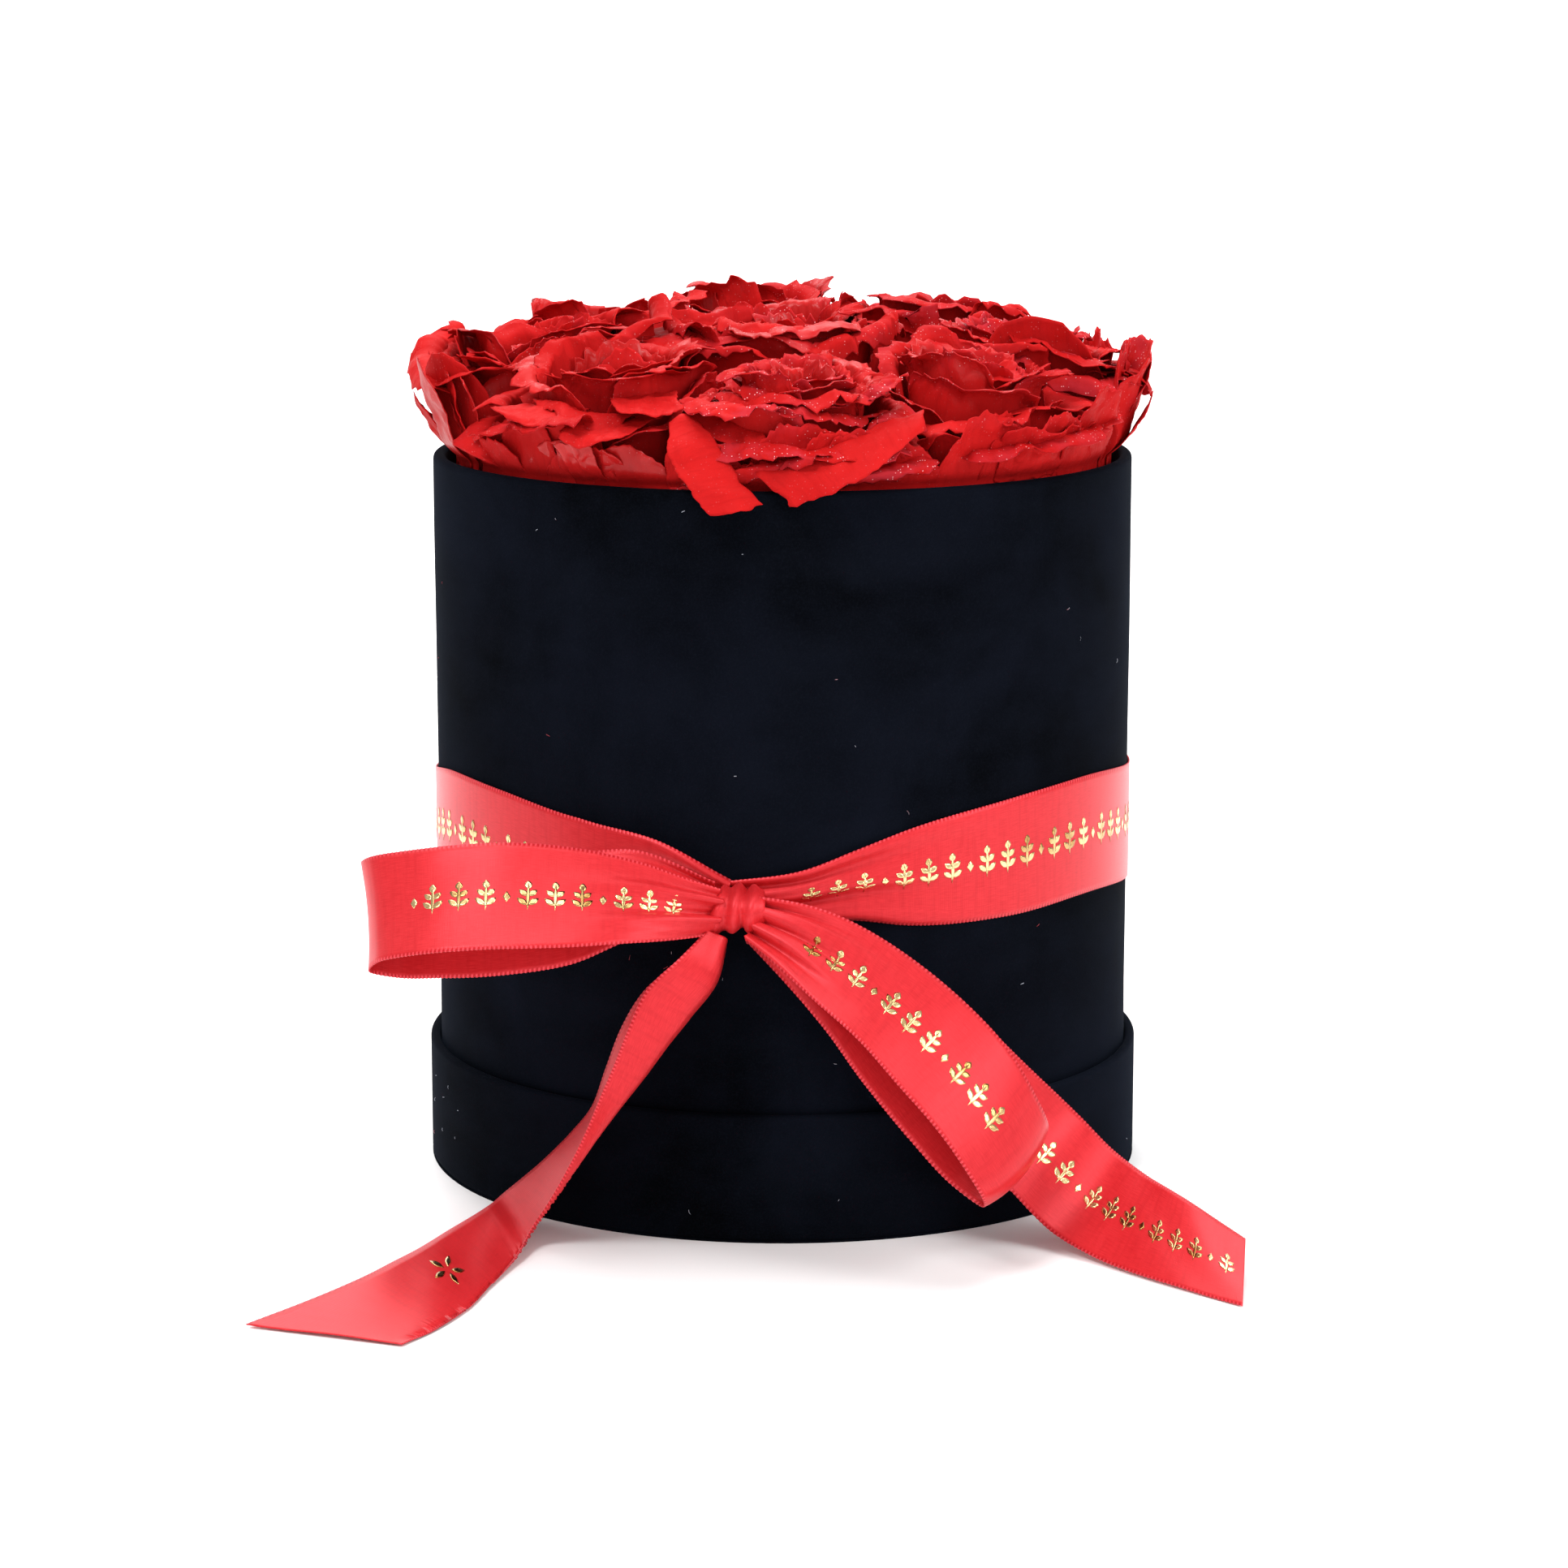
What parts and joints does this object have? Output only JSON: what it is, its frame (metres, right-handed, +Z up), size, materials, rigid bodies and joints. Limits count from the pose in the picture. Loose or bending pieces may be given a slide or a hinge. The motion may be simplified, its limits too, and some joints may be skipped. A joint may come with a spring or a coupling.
{
  "type": "flower box",
  "caption": "Round velvet-covered flower box standing in its upturned lid, tied with a satin ribbon bow and filled with red roses in foam.",
  "frame": {"origin": "centre of the underside of the upturned lid, on the surface it stands on", "axes": "+Z up along the axis of the round box; -Y towards the bow; +X to the right as the bow is faced"},
  "size_m": [0.1956, 0.2213, 0.1839],
  "materials": {
    "velvet_black": "matte",
    "greyboard": "matte",
    "lining_paper": "matte",
    "ribbon_satin": "satin",
    "foam": "matte",
    "film": "gloss",
    "petal": "satin",
    "calyx": "matte",
    "stem": "matte"
  },
  "bodies": {
    "lid_base": {"lid_board_ring": "greyboard", "lid_board_disc": "greyboard", "lid_velvet_band": "velvet_black", "lid_velvet_disc": "velvet_black", "lid_lining_ring": "lining_paper", "lid_lining_disc": "lining_paper"},
    "box": {"body_board_tube": "greyboard", "body_board_disc": "greyboard", "body_velvet_wrap": "velvet_black", "body_base_cover": "lining_paper", "body_lining_tube": "lining_paper", "body_lining_disc": "lining_paper", "ribbon_band": "ribbon_satin", "ribbon_knot": "ribbon_satin", "ribbon_loop_left": "ribbon_satin", "ribbon_loop_right": "ribbon_satin", "ribbon_tail_left": "ribbon_satin", "ribbon_tail_right": "ribbon_satin"},
    "insert": {"foam_block": "foam", "foam_film_wrap": "film"},
    "rose_1": {"rose_1_head": "petal", "rose_1_calyx": "calyx", "rose_1_stem": "stem"},
    "rose_2": {"rose_2_head": "petal", "rose_2_calyx": "calyx", "rose_2_stem": "stem"},
    "rose_3": {"rose_3_head": "petal", "rose_3_calyx": "calyx", "rose_3_stem": "stem"},
    "rose_4": {"rose_4_head": "petal", "rose_4_calyx": "calyx", "rose_4_stem": "stem"},
    "rose_5": {"rose_5_head": "petal", "rose_5_calyx": "calyx", "rose_5_stem": "stem"},
    "rose_6": {"rose_6_head": "petal", "rose_6_calyx": "calyx", "rose_6_stem": "stem"},
    "rose_7": {"rose_7_head": "petal", "rose_7_calyx": "calyx", "rose_7_stem": "stem"},
    "rose_8": {"rose_8_head": "petal", "rose_8_calyx": "calyx", "rose_8_stem": "stem"},
    "rose_9": {"rose_9_head": "petal", "rose_9_calyx": "calyx", "rose_9_stem": "stem"}
  },
  "joints": [
    {"name": "box_lift", "type": "slide", "parent": "lid_base", "child": "box", "axis": [0, 0, 1], "range_m": [0, 0.06]},
    {"name": "insert_lift", "type": "slide", "parent": "box", "child": "insert", "axis": [0, 0, 1], "range_m": [0, 0.16]},
    {"name": "rose_1_lift", "type": "slide", "parent": "insert", "child": "rose_1", "axis": [0, 0, 1], "range_m": [0, 0.06]},
    {"name": "rose_2_lift", "type": "slide", "parent": "insert", "child": "rose_2", "axis": [0, 0, 1], "range_m": [0, 0.06]},
    {"name": "rose_3_lift", "type": "slide", "parent": "insert", "child": "rose_3", "axis": [0, 0, 1], "range_m": [0, 0.06]},
    {"name": "rose_4_lift", "type": "slide", "parent": "insert", "child": "rose_4", "axis": [0, 0, 1], "range_m": [0, 0.06]},
    {"name": "rose_5_lift", "type": "slide", "parent": "insert", "child": "rose_5", "axis": [0, 0, 1], "range_m": [0, 0.06]},
    {"name": "rose_6_lift", "type": "slide", "parent": "insert", "child": "rose_6", "axis": [0, 0, 1], "range_m": [0, 0.06]},
    {"name": "rose_7_lift", "type": "slide", "parent": "insert", "child": "rose_7", "axis": [0, 0, 1], "range_m": [0, 0.06]},
    {"name": "rose_8_lift", "type": "slide", "parent": "insert", "child": "rose_8", "axis": [0, 0, 1], "range_m": [0, 0.06]},
    {"name": "rose_9_lift", "type": "slide", "parent": "insert", "child": "rose_9", "axis": [0, 0, 1], "range_m": [0, 0.06]}
  ]
}
